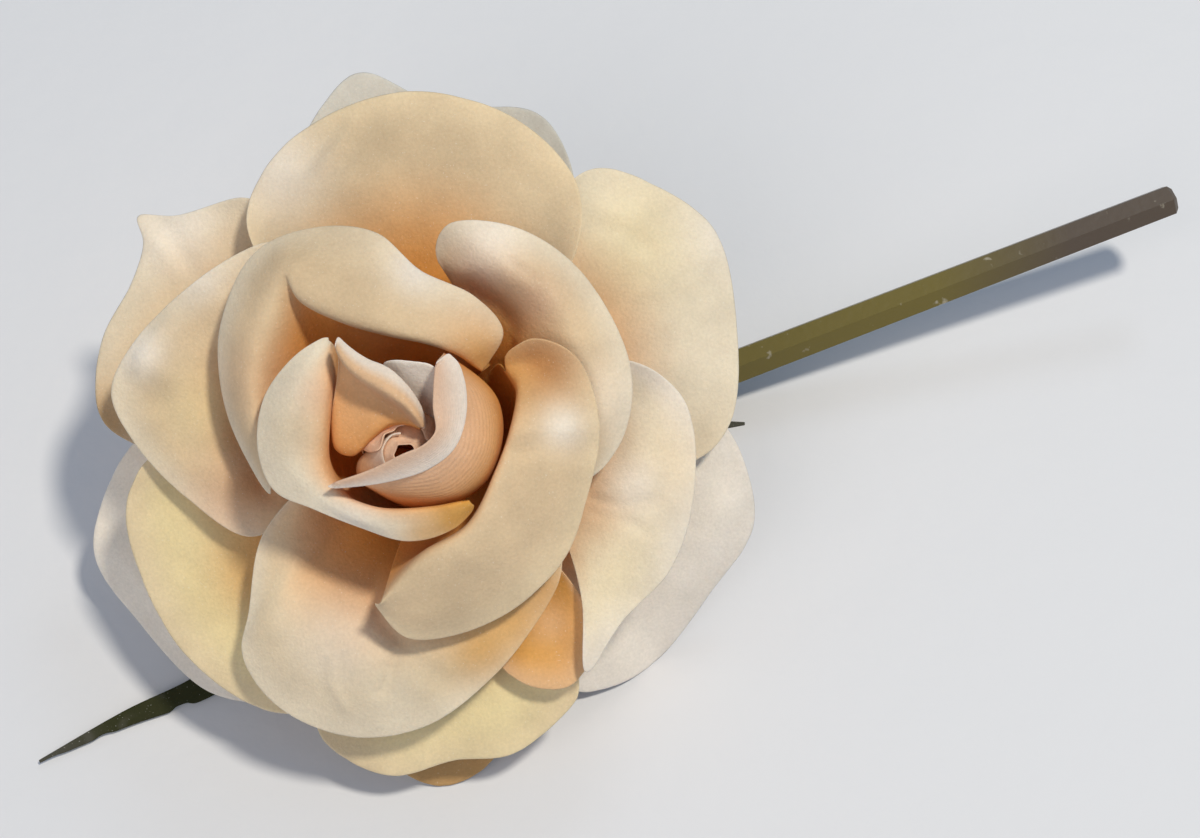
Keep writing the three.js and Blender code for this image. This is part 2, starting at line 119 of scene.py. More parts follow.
def seatOf(layer):
    height = seatFacts["firstHeight"] + layer * seatFacts["step"]
    footRadius, footHeight = seatFacts["coneFoot"]
    tipRadius, tipHeight = seatFacts["coneTip"]
    share = (height - footHeight) / (tipHeight - footHeight)
    return mix(footRadius, tipRadius, share) + seatFacts["glueGap"] + seatFacts["paper"] / 2, height


# How far out a petal reaches at u: its rim is rounded off towards both sides
def reachAt(petal, u):
    share, drop = petal["corner"]
    t = max(0.0, 1 - min(u, 1 - u) / share)
    return 1 - drop * (1 - math.sqrt(1 - t * t))


def petalSurface(petal):
    lines = petal["lines"]
    rim = lines[-1]
    radius, height = seatOf(petal["layer"])
    middle = (rim[0][0] + rim[-1][0]) / 2
    seatLine = [(middle + (point[0] - middle) * seatFacts["seatShare"], radius, height) for point in rim]
    curves = [[polar(*point) for point in line] for line in [seatLine] + lines]

    def surface(u, v):
        return curveAt([curveAt(curve, u) for curve in curves], v * reachAt(petal, u))

    return surface


# A line between the seat and the rim, which rises more the farther out the petal reaches
def between(rim, layer, share, rise):
    seatRadius, seatHeight = seatOf(layer)
    line = []
    for azimuth, radius, height in rim:
        lift = rise * radius / seatFacts["fullReach"]
        line.append((azimuth, mix(seatRadius, radius, share), mix(seatHeight, height, share) + lift))
    return line


# An open petal's inner lines can start some degrees inside its rim, which turns its side edge
openFacts = {"shoulderShare": 0.34, "faceShare": 0.7}


def openPetal(layer, shoulderRise, faceRise, outline, tuck=0, **looks):
    last = len(outline) - 1
    lines = []
    for share, rise in ((openFacts["shoulderShare"], shoulderRise), (openFacts["faceShare"], faceRise)):
        turn = tuck * (1 - share) / (1 - openFacts["faceShare"])
        line = between(outline, layer, share, rise)
        lines.append([(a + turn * (1 - i / last) ** 2, r, h) for i, (a, r, h) in enumerate(line)])
    return {"layer": layer, "lines": lines + [outline], **looks}


# Colours of the dyed paper and of the light and shade painted on it, as linear values
paperAndPaintedLightColours = {
    # painted light: a pale colour that lightens petal faces the lamps leave too dark, and spots of painted
    # highlight
    "paintedLight": (0.92, 0.82, 0.72),
    # white of the rims, also used as painted highlight in spots and to lighten a shaded face
    "whiteAndPaintedLight": (0.84, 0.76, 0.69),
    "pale": (0.81, 0.70, 0.55),
    "shade": (0.64, 0.60, 0.54),
    "cream": (0.81, 0.64, 0.43),
    "butter": (0.86, 0.70, 0.40),
    "sand": (0.72, 0.54, 0.35),
    "peach": (0.74, 0.48, 0.29),
    "pink": (0.75, 0.50, 0.36),
    "tan": (0.60, 0.46, 0.30),
    # brown, used on the petals as painted shade
    "brown": (0.50, 0.30, 0.13),
    # orange, used mostly as painted warm shade in hollows and folds, partly as the paper's own tone
    "orangeAndShade": (0.72, 0.36, 0.09),
    # painted shade: the warm dark colour at the foot of each petal, down in the bud's hollows, and in a
    # cast shadow
    "deep": (0.80, 0.33, 0.06),
    # painted shade: the darkest, for cast shadows and the shade under hooded tops
    "paintedDarkShade": (0.45, 0.17, 0.03),
    "ochre": (0.68, 0.31, 0.03),
}

# What a petal has unless it says otherwise: its rounded corners, the shares of its length over which its
# colour changes from the painted shade at its foot to its face and then to its rim, and its mesh
petalDefaults = {
    "corner": (0.1, 0.22), "deepShare": (0.3, 0.78), "rimShare": (0.8, 1.0), "steps": (56, 36),
    "creases": [], "dabs": [], "ribs": False,
}

# Petals from the outside in, on the same lines as in the model. A crease is a line across the petal
# with its width and its lift towards the viewer; a dab is a spot of dye with its radius, colour and
# strength. All are in mm.
petals = {
    "back_petal_top": openPetal(0, 2, 2.5, [
        (118, 45, 12), (110, 51, 9), (102, 55.5, 6), (89, 49, 8), (72, 50.5, 6), (55, 41, 12)],
        face="shade", rim="shade", creases=[([(-20, 47), (-16, 42)], 1.5, -0.5)]),
    "back_petal_right": openPetal(0, 3.5, 5.5, [
        (-66, 45, 5), (-54, 48.5, 0.5), (-46, 49.5, -2.3), (-31, 49, 2), (-16, 50.5, 6), (9, 43, 12)],
        # painted light: this petal's face and rim are lightened to stand in for light it does not get
        face="paintedLight", rim="whiteAndPaintedLight", creases=[([(45, -2), (42, -8), (38, -14)], 2.5, -0.6)]),
    "back_petal_bottom": openPetal(0, 2.5, 3.5, [
        (-106, 45, 12), (-97, 51, 9.5), (-89, 54, 7.5), (-82, 52, 8), (-73, 45, 12)],
        # painted shade: brown all over, for the shade of this petal's place under the flower's lower edge
        face="brown", rim="brown"),
    "back_petal_left": openPetal(1, 3, 4.5, [
        (-183, 42, 9), (-172, 49.5, 6), (-160, 56, 3), (-147, 54.5, 3), (-131, 53, 5), (-115, 46, 10)],
        # painted light: face and rim lightened to stand in for light this petal does not get
        face="paintedLight", rim="paintedLight",
        creases=[([(-48, -19), (-43, -26)], 2.2, 0.6), ([(-50, -13), (-43, -16)], 2.2, -0.5)]),
    "back_petal_upper_left": openPetal(2, 3, 3.5, [
        (186, 42.5, 18), (177, 49, 15.5), (165, 50.5, 14.5), (154, 49.5, 14), (147, 51, 13.5),
        (144, 54, 13), (140, 49.5, 13.5), (133, 46, 14.5), (124, 43, 18)],
        face="sand", rim="pale",
        creases=[([(-43, 31), (-39, 26)], 1.6, 0.6), ([(-41, 31), (-36, 25)], 1.8, -0.6)],
        # painted shade in brown at the lower left edge, and a painted highlight on the top
        dabs=[((-48, 1), 7, "brown", 0.85), ((-38, 30), 7, "paintedLight", 0.8)]),
    "outer_petal_upper_right": openPetal(3, 5, 5, [
        (-10, 39, 19), (2, 44.5, 16), (17, 47.5, 14), (35, 51.5, 13), (48, 49, 14), (57, 46, 16),
        (62, 40.5, 19)],
        face="pale", rim="pale",
        creases=[([(25, 30), (28, 29), (32, 27)], 1.3, -0.5), ([(37, 40), (40, 28)], 4, 0.6),
                 ([(34, 10), (40, 2)], 4, -0.5)],
        dabs=[((31, 28), 10, "butter", 0.5), ((40, -2), 6, "tan", 0.4), ((44, 30), 7, "whiteAndPaintedLight", 0.6)]),
    "outer_petal_bottom": openPetal(3, 5, 5, [
        (-114, 46, 18), (-105, 50, 15.5), (-96, 51.5, 15), (-86, 49, 15), (-76, 49.5, 15),
        (-65, 46.5, 15.5), (-57, 43.5, 18)],
        face="butter", rim="cream", dabs=[((-14, -46), 8, "tan", 0.5), ((8, -44), 10, "butter", 0.4)]),
    "outer_petal_top": openPetal(5, 6, 5, [
        (135, 36.5, 25), (127, 42.5, 21), (115, 47, 19), (95, 49.5, 19), (76, 47.5, 19), (60, 42.5, 20),
        (47, 33.5, 25)],
        face="tan", rim="cream",
        creases=[([(-18, 38), (-15, 42), (-13, 44)], 0.9, -0.6),
                 ([(-15, 38), (-13, 41), (-11, 45)], 0.9, 0.5),
                 ([(-13, 38), (-11, 41), (-9, 44)], 0.8, -0.5), ([(-4, 38), (8, 34)], 6, -0.7)],
        dabs=[((-22, 38), 7, "whiteAndPaintedLight", 0.7), ((15, 34), 7, "cream", 0.6)]),
    "outer_petal_lower_left": openPetal(4, 6, 5, [
        (-178, 39, 24), (-166, 45, 21), (-154, 47, 19), (-138, 48.5, 18), (-121, 47.5, 19), (-107, 43, 21)],
        face="butter", rim="cream", creases=[([(-36, -8), (-30, -26)], 5, -0.6)],
        # the orange spots by the middle petals are painted warm shade
        dabs=[((-26, -21), 6, "orangeAndShade", 0.5), ((-31, -8), 5, "orangeAndShade", 0.3)]),
    "outer_petal_lower_right": openPetal(4, 6, 4, [
        (-74, 35, 22.5), (-68, 40, 21.5), (-61, 42.5, 21), (-53, 40, 21.5), (-46, 33, 23)],
        # the orange face is partly the paper's tone and partly painted shade of the hollow between its
        # neighbours
        face="orangeAndShade", rim="peach", creases=[([(18, -27), (19, -32)], 3, -1)],
        dabs=[((18, -28), 3.5, "peach", 0.6)]),
    "outer_petal_right": openPetal(5, 6, 5, tuck=14, outline=[
        (-61, 44.5, 24), (-45, 39.5, 24), (-29, 40.5, 24), (-12, 39.5, 24), (6, 37.5, 24.5), (22, 31, 28)],
        face="pale", rim="whiteAndPaintedLight",
        creases=[([(24, -10), (28, -11), (33, -10)], 0.9, -0.5),
                 ([(24, -12), (29, -13), (32, -15)], 0.9, -0.4), ([(30, -2), (34, -14)], 5, 0.5)],
        # the peach spot in the crease is painted shade, and the bright spot a painted highlight
        dabs=[((35, -5), 7, "cream", 0.6), ((24, -12), 4, "peach", 0.5), ((28, -22), 8, "butter", 0.4),
              ((30, -8), 4, "paintedLight", 0.7)]),
    "middle_petal_left": openPetal(6, 6.5, 7, [
        (215, 23, 27), (211, 29.5, 26), (197, 35, 25), (183, 41.5, 24.5), (173, 45.5, 24), (162, 43, 25.5),
        (147, 38.5, 28), (134, 35.5, 29.5), (121, 32.5, 31)],
        face="sand", rim="pale", steps=(80, 50),
        creases=[([(-28, 11), (-27, 4), (-25, -3), (-22, -9)], 1.8, -0.9),
                 ([(-40, 11), (-37, 8)], 2.5, 0.7), ([(-36, 16), (-41, 9)], 1.2, 0.5),
                 ([(-42, 6), (-37, 4), (-33, -2)], 3, -0.5), ([(-36, 20), (-31, 24)], 2.5, 0.5)],
        # the peach, pink and dark spots low down by the bud are painted shade; the bright spot on the fold
        # and the white one near the top are painted highlights
        dabs=[((-26, -7), 7, "peach", 0.7), ((-28, -12), 6, "pink", 0.5), ((-40, 11), 3.5, "paintedLight", 0.9),
              ((-27, -1), 2.5, "paintedDarkShade", 0.4), ((-25, -8), 3.5, "paintedDarkShade", 0.5),
              ((-32, 22), 4, "whiteAndPaintedLight", 0.6), ((-32, 3), 6, "butter", 0.5)]),
    "middle_petal_lower": openPetal(8, 6.5, 8, [
        (206, 21.5, 31), (215, 28.5, 28), (226, 36, 26), (231, 41.5, 25), (242, 45, 24), (256, 45.5, 23),
        (270, 42.5, 24), (287, 36, 25.5), (307, 30, 28), (323, 27, 30)],
        face="cream", rim="pale", steps=(100, 60),
        creases=[([(-7, -18), (-7, -24), (-6, -27), (-3, -30)], 1.1, -0.8),
                 ([(-4, -32), (-5, -35), (-6, -37)], 0.6, -0.7),
                 ([(-10, -30), (-13, -32), (-13, -36), (-11, -40)], 0.6, 0.5),
                 ([(-8, -33), (-8, -38)], 3, 0.7),
                 ([(-12, -12), (-10, -18), (-8, -24)], 2.6, -0.7), ([(-1, -33), (3, -36)], 1.6, -0.5)],
        # the dark and warm spots along the top are the painted shadow that the bud casts; the white and
        # pale spots lower down are painted highlights
        dabs=[((8, -31), 5, "ochre", 0.6), ((13, -27), 5, "ochre", 0.6), ((17, -22), 5, "orangeAndShade", 0.7),
              ((-3, -17), 7, "paintedDarkShade", 0.9), ((-11, -13), 6, "deep", 0.5), ((-17, -14), 6, "peach", 0.5),
              ((-12, -30), 8, "whiteAndPaintedLight", 0.5), ((-4, -38), 5, "pale", 0.6)]),
    "middle_petal_upper_right": {"layer": 7, "corner": (0.07, 0.2), "face": "sand", "rim": "pale",
        "lines": [
        [(86, 16, 26.5), (47, 16, 26.5), (16, 16, 26), (-20, 16, 26)],
        [(76, 19, 28), (63, 19.5, 29.5), (50, 19.5, 30.5), (34, 17.5, 30.5), (8, 17, 29.5), (-20, 19, 28)],
        [(83, 23, 33), (67, 25, 36.5), (49, 26, 37.5), (27, 24.5, 35.5), (3, 24, 34), (-19, 22.5, 32)],
        [(87, 25, 33), (81, 29, 36), (65, 31, 36), (49, 31.5, 34.5), (32, 31, 34), (15, 30.5, 32.5),
         (-1, 28.5, 31), (-18, 25, 31)]],
        "creases": [([(7, 20), (11, 18), (13, 14), (11, 11), (9, 8)], 1.4, -0.7),
                    ([(13, 23), (16, 21)], 0.8, -0.4)],
        # the pink and orange spots on the inner face are painted shade; the bright spots on the rim and at
        # the lower right are painted highlights
        "dabs": [((8, 21), 5, "pink", 0.7), ((11, 13), 5, "orangeAndShade", 0.8), ((16, 18), 4, "pink", 0.5),
                 ((10, 27), 5, "paintedLight", 0.7), ((25, 4), 6, "paintedLight", 0.4)]},
    "middle_petal_upper_left": {"layer": 9, "corner": (0.03, 0.1), "face": "sand", "rim": "pale",
        "deepShare": (0.45, 0.68),
        "lines": [
        [(200, 16.5, 28), (165, 17, 28), (130, 16.5, 28), (95, 14, 28), (60, 13.5, 28), (44, 13, 28)],
        [(199, 21, 36), (177, 22, 37.5), (157, 24, 38.5), (141, 25.5, 39.5), (130, 27.5, 40.5),
         (131, 24.5, 41), (124, 18.5, 41), (107, 14, 41), (84, 12.3, 41), (62, 12, 39), (43, 12, 35.5)],
        [(206, 23, 34), (175, 27, 33), (154, 31, 33.5), (133, 33.5, 35), (115, 31, 36.5), (101, 27.5, 37.5),
         (89, 22, 38.5), (66, 20, 37.5), (49, 18, 36.5), (44, 13, 35)]],
        "creases": [([(-16, 22), (-14, 24), (-11, 23), (-8, 21)], 1, 0.45),
                    ([(-4, 26), (0, 21), (2, 17)], 2, 0.6),
                    ([(-5, 27), (-3, 23), (-1, 19)], 0.9, -0.4), ([(-28, 13), (-26, 15)], 1.4, 0.4)],
        # the white spot is a painted highlight; the tan spot by the front edge and the peach and orange
        # spots at the right end are painted shade
        "dabs": [((-12, 26), 8, "tan", 0.6), ((8, 13), 5, "peach", 0.7), ((-22, 7), 6, "peach", 0.6),
                 ((0, 22), 3.5, "whiteAndPaintedLight", 0.8), ((-6, 16), 5, "tan", 0.4), ((9, 9), 4.5, "orangeAndShade", 0.8)]},
    "middle_petal_right": {"layer": 10, "corner": (0.03, 0.1), "face": "sand", "rim": "cream",
        "deepShare": (0.35, 0.55), "steps": (80, 50),
        "lines": [
        [(42, 14, 28), (5, 14.5, 28), (-40, 15, 28), (-75, 15.5, 28), (-102, 17, 28)],
        [(34, 14.5, 34), (25, 15, 36), (6, 13.4, 39), (-24, 12.4, 40), (-61, 15, 40), (-88, 17.5, 39.5),
         (-102, 24, 37.5)],
        [(38, 15, 35), (30, 18, 35.5), (9, 20, 37.5), (-21, 19.5, 38), (-57, 20.5, 37.5),
         (-87, 24.5, 36.5), (-103, 24.5, 36.5)],
        [(42, 16, 36), (38, 20.5, 38), (25, 24, 37.5), (2, 25, 35.5), (-21, 25, 34), (-43, 27, 33),
         (-69, 28.5, 32), (-93, 29, 33), (-105, 24.5, 35.5)]],
        "creases": [([(13, 0), (18, 0.5), (24, 0)], 1.0, 0.45),
                    ([(13, -3), (18, -2.5), (23, -3)], 1.2, -0.3),
                    ([(14, -3), (13, -7), (11, -10)], 1.2, -0.4),
                    ([(16, -12), (12, -16), (8, -18)], 2.2, 0.4)],
        # the dark and orange spots under the hooded top are painted shade; the bright spot on the fold is a
        # painted highlight
        "dabs": [((17, 9), 6, "paintedDarkShade", 0.75), ((3, -23), 8, "tan", 0.45), ((10, 7), 5, "orangeAndShade", 1),
                 ((20, 0.5), 3, "paintedLight", 0.8)]},
    "bud_petal_left": {"layer": 11, "corner": (0.03, 0.15), "face": "pale", "rim": "pale",
        "lines": [
        [(138, 13, 31), (192, 13, 31), (246, 13, 31), (300, 12.8, 31)],
        [(133, 16.3, 42.5), (153, 13, 43), (178, 12, 43), (199, 13, 42.5), (217, 13.3, 42.7),
         (243, 11.8, 43), (281, 10.7, 43), (308, 12, 41)],
        [(133, 16.7, 43), (154, 16.7, 43.6), (175, 16.7, 43.6), (195, 16.8, 43.2), (213, 15.6, 43),
         (245, 13.5, 43), (280, 12.7, 42.3), (308, 12.5, 41)],
        [(131, 17.3, 43), (148, 19, 42.3), (168, 21, 41), (187, 21.5, 41), (203, 20.8, 41), (217, 17.4, 42),
         (240, 15, 41.7), (267, 15, 41), (291, 14.3, 40), (309, 13.2, 39.5)]],
        "dabs": [((8, -10), 3.5, "ochre", 0.9), ((5, -12), 3.5, "ochre", 0.8), ((1, -14), 3, "ochre", 0.5),
                 ((-16, 0), 4, "tan", 0.5), ((-13, 5), 3, "pink", 0.4), ((-8, -11), 4, "whiteAndPaintedLight", 0.5)]},
    "bud_petal_right": {"layer": 12, "corner": (0.04, 0.25), "face": "pink", "rim": "whiteAndPaintedLight", "ribs": True,
        "lines": [
        [(72, 11, 31), (19, 11.2, 31), (-34, 11.3, 31), (-88, 10.7, 31), (-142, 10.9, 31)],
        [(70, 10.8, 42), (26, 10.4, 42.5), (-17, 10.2, 42.5), (-58, 9.7, 42.5), (-102, 9, 42),
         (-144, 11, 41.5)],
        [(69, 9.5, 48.5), (62, 6.8, 49), (44, 4.3, 49), (0, 3.4, 49), (-44, 2.6, 49), (-109, 3.3, 48.8),
         (-136, 7.5, 47.5), (-147, 13.5, 45.6)],
        [(67, 11.6, 47), (55, 11, 47), (36, 9.1, 47), (10, 7.3, 47), (-23, 6.2, 47), (-67, 5.6, 47),
         (-118, 7.8, 46.2), (-147, 14.4, 45)]]},
    # painted light: face lightened to white, with little foot shade, for a petal that faces away from the
    # lamps
    "bud_petal_back": {"layer": 13, "corner": (0.15, 0.1), "face": "whiteAndPaintedLight", "rim": "whiteAndPaintedLight",
        "deepShare": (0.1, 0.4),
        "lines": [
        [(90, 4.3, 30), (60, 4.3, 30), (30, 4.3, 30)],
        [(55, 1.7, 38.5), (35, 2.2, 38.5), (12, 3.2, 38.5)],
        [(119, 10.2, 44), (105, 9.8, 45.3), (90, 9.3, 45.5), (75, 9.2, 45.5), (61, 8.6, 44.5)]]},
    "bud_petal_inner": {"layer": 15, "corner": (0.06, 0.15), "face": "peach", "rim": "whiteAndPaintedLight",
        "deepShare": (0.35, 0.8), "rimShare": (0.88, 0.96),
        "lines": [
        [(165, 3.4, 30), (140, 3, 30), (110, 2.6, 30), (80, 2.4, 30)],
        [(172, 10.2, 35), (185, 9.6, 35), (189, 8, 35), (178, 5, 35), (140, 2.4, 35), (80, 0.8, 35)],
        [(176, 11.5, 40), (193, 11.2, 39.5), (201, 9.2, 40), (187, 5.6, 42), (163, 3.3, 42.7),
         (118, 1.1, 43.2), (20, 1, 43.8)],
        [(136, 13.8, 43.5), (138, 11.4, 43.5), (139, 9, 43.5), (136, 6, 43.5), (127, 3.6, 43.5),
         (110, 1.8, 43.5), (60, 0.9, 43.6)],
        [(132, 15, 47.5), (134, 12.3, 48), (132, 9.5, 48.2), (122, 6.2, 47.9), (103, 3.6, 47.4),
         (66, 1.8, 46.5), (10, 1.5, 45.2)],
        [(128, 16.5, 46.5), (126, 13.8, 47.1), (121, 11.2, 47.3), (110, 9, 46.8), (96, 6.2, 46.1),
         (72, 3.6, 45.4), (10, 2, 44.4)]]},
    "bud_petal_heart": {"layer": 16, "corner": (0.1, 0.2), "face": "peach", "rim": "whiteAndPaintedLight",
        "lines": [
        [(215, 5.2, 30), (198, 5.1, 30), (182, 4.6, 30)],
        [(231, 9.2, 35), (217, 10.4, 35), (208, 9.4, 35.5), (201, 6.4, 37.5), (190, 3.6, 40)],
        [(250, 5.6, 41), (233, 6, 41.3), (212, 5, 42), (191, 3, 42.4), (192, 1.2, 42.8)]]},
}

# How the paper is formed close up, in mm and in shares of the petal's length
paperFacts = {
    "thickness": 0.3, "swell": 0.28, "swellScale": 0.11, "liftFrom": (0.3, 0.6), "rimWander": 0.004,
    "rimScale": 26.0, "wanderFrom": 0.9, "rimDye": 0.8, "smoothing": 1,
}


# A material with the few node links that all finishes here need
class Finish:
    def __init__(self, name, roughness):
        self.material = bpy.data.materials.new(name)
        self.material.use_nodes = True
        self.nodes = self.material.node_tree.nodes
        self.links = self.material.node_tree.links
        self.shader = self.nodes["Principled BSDF"]
        self.shader.inputs["Roughness"].default_value = roughness
        self.coordinates = self.nodes.new("ShaderNodeTexCoord").outputs["Object"]

    def colour(self, output):
        self.links.new(output, self.shader.inputs["Base Color"])

    def grain(self, scale, detail):
        texture = self.nodes.new("ShaderNodeTexNoise")
        texture.inputs["Scale"].default_value = scale
        texture.inputs["Detail"].default_value = detail
        self.links.new(self.coordinates, texture.inputs["Vector"])
        return texture.outputs["Fac"]

    def ranged(self, value, low, high, to=(0, 1)):
        spread = self.nodes.new("ShaderNodeMapRange")
        for socket, number in (("From Min", low), ("From Max", high), ("To Min", to[0]), ("To Max", to[1])):
            spread.inputs[socket].default_value = number
        self.links.new(value, spread.inputs["Value"])
        return spread.outputs["Result"]

    def scaled(self, colour, value):
        scale = self.nodes.new("ShaderNodeVectorMath")
        scale.operation = "SCALE"
        self.links.new(colour, scale.inputs[0])
        self.links.new(value, scale.inputs["Scale"])
        return scale.outputs["Vector"]

    def mixed(self, share, first, second):
        blend = self.nodes.new("ShaderNodeMixRGB")
        self.links.new(share, blend.inputs["Fac"])
        for socket, colour in (("Color1", first), ("Color2", second)):
            if isinstance(colour, tuple):
                blend.inputs[socket].default_value = (*colour, 1)
            else:
                self.links.new(colour, blend.inputs[socket])
        return blend.outputs["Color"]

    def bumped(self, height, strength, depth):
        bump = self.nodes.new("ShaderNodeBump")
        bump.inputs["Strength"].default_value = strength
        bump.inputs["Distance"].default_value = depth
        self.links.new(height, bump.inputs["Height"])
        before = self.shader.inputs["Normal"].links
        if before:
            self.links.new(before[0].from_socket, bump.inputs["Normal"])
        self.links.new(bump.outputs["Normal"], self.shader.inputs["Normal"])

    def roughened(self, scale, detail, strength, depth):
        self.bumped(self.grain(scale, detail), strength, depth)


# Crepe paper takes its dye, with the light and shade painted into it, from the mesh and adds blotches, a
# velvety grain and pale flecks
crepeFacts = {
    "roughness": 0.8, "specular": 0.2, "velvet": 0.03,
    "glow": 0.12, "glowRadius": (1.0, 0.7, 0.5), "glowDepth": 0.0012,
    "blotch": (130, 5, 0.90, 1.07), "grain": (2200, 2, 0.95, 1.04), "spread": (0.3, 0.7),
    "fleck": (0.95, 0.92, 0.88), "fleckAt": (4200, 0.77, 0.83, 0.25),
    "wrinkle": (260, 3, 0.3, 0.0007), "bump": (2400, 4, 0.4, 0.0002),
    "rib": {"Scale": 20, "Distortion": 0.6, "Detail": 2}, "ribBump": (0.2, 0.0002),
}


def crepeMaterial(name, ribs=False, glow=crepeFacts["glow"], velvet=crepeFacts["velvet"]):
    finish = Finish(name, crepeFacts["roughness"])
    inputs = finish.shader.inputs
    inputs["Specular IOR Level"].default_value = crepeFacts["specular"]
    inputs["Subsurface Weight"].default_value = glow
    inputs["Subsurface Radius"].default_value = crepeFacts["glowRadius"]
    inputs["Subsurface Scale"].default_value = crepeFacts["glowDepth"]
    inputs["Sheen Weight"].default_value = velvet
    dyeAndPaintedLight = finish.nodes.new("ShaderNodeVertexColor")
    dyeAndPaintedLight.layer_name = "dyeAndPaintedLight"
    colour = dyeAndPaintedLight.outputs["Color"]
    for scale, detail, low, high in (crepeFacts["blotch"], crepeFacts["grain"]):
        colour = finish.scaled(
            colour, finish.ranged(finish.grain(scale, detail), *crepeFacts["spread"], (low, high)))
    scale, low, high, strength = crepeFacts["fleckAt"]
    flecked = finish.ranged(finish.grain(scale, 0), low, high, (0, strength))
    finish.colour(finish.mixed(flecked, colour, crepeFacts["fleck"]))
    if ribs:
        petalMap = finish.nodes.new("ShaderNodeUVMap")
        petalMap.uv_map = "petalMap"
        wave = finish.nodes.new("ShaderNodeTexWave")
        wave.bands_direction = "Y"
        for socket, number in crepeFacts["rib"].items():
            wave.inputs[socket].default_value = number
        finish.links.new(petalMap.outputs["UV"], wave.inputs["Vector"])
        finish.bumped(wave.outputs["Fac"], *crepeFacts["ribBump"])
    finish.roughened(*crepeFacts["wrinkle"])
    finish.roughened(*crepeFacts["bump"])
    return finish.material


def mixedTowards(colour, dyeAndPaintedLight, share):
    return colour.lerp(Vector(paperAndPaintedLightColours[dyeAndPaintedLight]), share)


# Colour runs from painted shade at the deep foot, down in the bud's hollows, to the face, and takes the
# rim's colour at the end. Spots go on top, some of them painted shade or painted highlights
def dyeAndPaintedLightOf(petal, v, point):
    colour = mixedTowards(Vector(paperAndPaintedLightColours["deep"]), petal["face"], smoothStep(*petal["deepShare"], v))
    colour = mixedTowards(colour, petal["rim"], smoothStep(*petal["rimShare"], v) * paperFacts["rimDye"])
    for (x, y), radius, dyeAndPaintedLight, strength in petal["dabs"]:
        away = math.hypot(point.x - x, point.y - y) / radius
        colour = mixedTowards(colour, dyeAndPaintedLight, strength * math.exp(-away * away))
    return colour


def distanceToLine(x, y, line):
    nearest = math.inf
    for (ax, ay), (bx, by) in zip(line, line[1:]):
        dx = bx - ax
        dy = by - ay
        share = min(max(((x - ax) * dx + (y - ay) * dy) / (dx * dx + dy * dy), 0.0), 1.0)
        nearest = min(nearest, math.hypot(x - ax - share * dx, y - ay - share * dy))
    return nearest


# Folds listed for the petal, and the slight swell of the whole sheet
def creased(petal, v, point, seed):
    lift = 0.0
    for line, width, height in petal["creases"]:
        away = distanceToLine(point.x, point.y, line) / width
        lift += height * math.exp(-away * away)
    scale = paperFacts["swellScale"]
    lift += paperFacts["swell"] * noise.noise(Vector((point.x * scale, point.y * scale, seed)))
    return Vector((point.x, point.y, point.z + lift * smoothStep(*paperFacts["liftFrom"], v)))


# One sheet of paper in place of a node of the model, from its points and its colours, painted light and
# shade included. The grid that it starts as runs from -0.5 to 0.5 both ways.
gridHalf = 0.5


def makeSheet(name, pointAt, colourAt, steps, material):
    bm = bmesh.new()
    bm.loops.layers.uv.new("petalMap")
    bmesh.ops.create_grid(bm, x_segments=steps[0], y_segments=steps[1], size=gridHalf, calc_uvs=True)
    dyeAndPaintedLightLayer = bm.verts.layers.float_color.new("dyeAndPaintedLight")
    for vert in bm.verts:
        u = vert.co.x + gridHalf
        v = vert.co.y + gridHalf
        point = pointAt(u, v)
        vert[dyeAndPaintedLightLayer] = (*colourAt(u, v, point), 1.0)
        vert.co = toTable @ point
    bm.normal_update()
    mesh = bpy.data.meshes.new(name)
    bm.to_mesh(mesh)
    bm.free()
    piece = bpy.data.objects.new(name + "_paper", mesh)
    bpy.context.collection.objects.link(piece)
    for polygon in mesh.polygons:
        polygon.use_smooth = True
    mesh.materials.append(material)
    wall = piece.modifiers.new("wall", "SOLIDIFY")
    wall.thickness = paperFacts["thickness"] * millimetre
    wall.offset = 0
    smooth = piece.modifiers.new("smooth", "SUBSURF")
    smooth.levels = paperFacts["smoothing"]
    smooth.render_levels = paperFacts["smoothing"]
    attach(piece, "root")
    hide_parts(name)


def makePetal(name, petal, seed, material):
    surface = petalSurface(petal)

    def pointAt(u, v):
        wander = noise.noise(Vector((u * paperFacts["rimScale"], seed, 0))) * paperFacts["rimWander"]
        reach = 1 + wander * smoothStep(paperFacts["wanderFrom"], 1, v)
        return creased(petal, v, surface(u, v * reach), seed)

    def colourAt(u, v, point):
        return dyeAndPaintedLightOf(petal, v, point)

    makeSheet(name, pointAt, colourAt, petal["steps"], material)


petalPaper = crepeMaterial("petalCrepe")
ribbedPaper = crepeMaterial("ribbedCrepe", ribs=True)
for seed, (name, facts) in enumerate(petals.items()):
    petal = {**petalDefaults, **facts}
    makePetal(name, petal, seed, ribbedPaper if petal["ribs"] else petalPaper)
print("rose: petals made")


# Rolled strip in the middle of the bud, a crumpled spiral about its own axis that leans out at the top
rollFacts = {
    "axis": (-0.6, -2.9), "start": -60, "turn": 600, "inner": 0.1, "outer": 4.3, "foot": 26.3, "top": 43.8,
    "slope": 1.6, "lean": 2.6, "leanFrom": 0.8, "crumple": 1.1, "crumpleScale": 0.45,
    "crumpleFrom": (0.05, 0.3), "crumpleSeed": 1, "pinkFrom": 0.6, "paintedLightGain": 1.12, "steps": (130, 16),
}


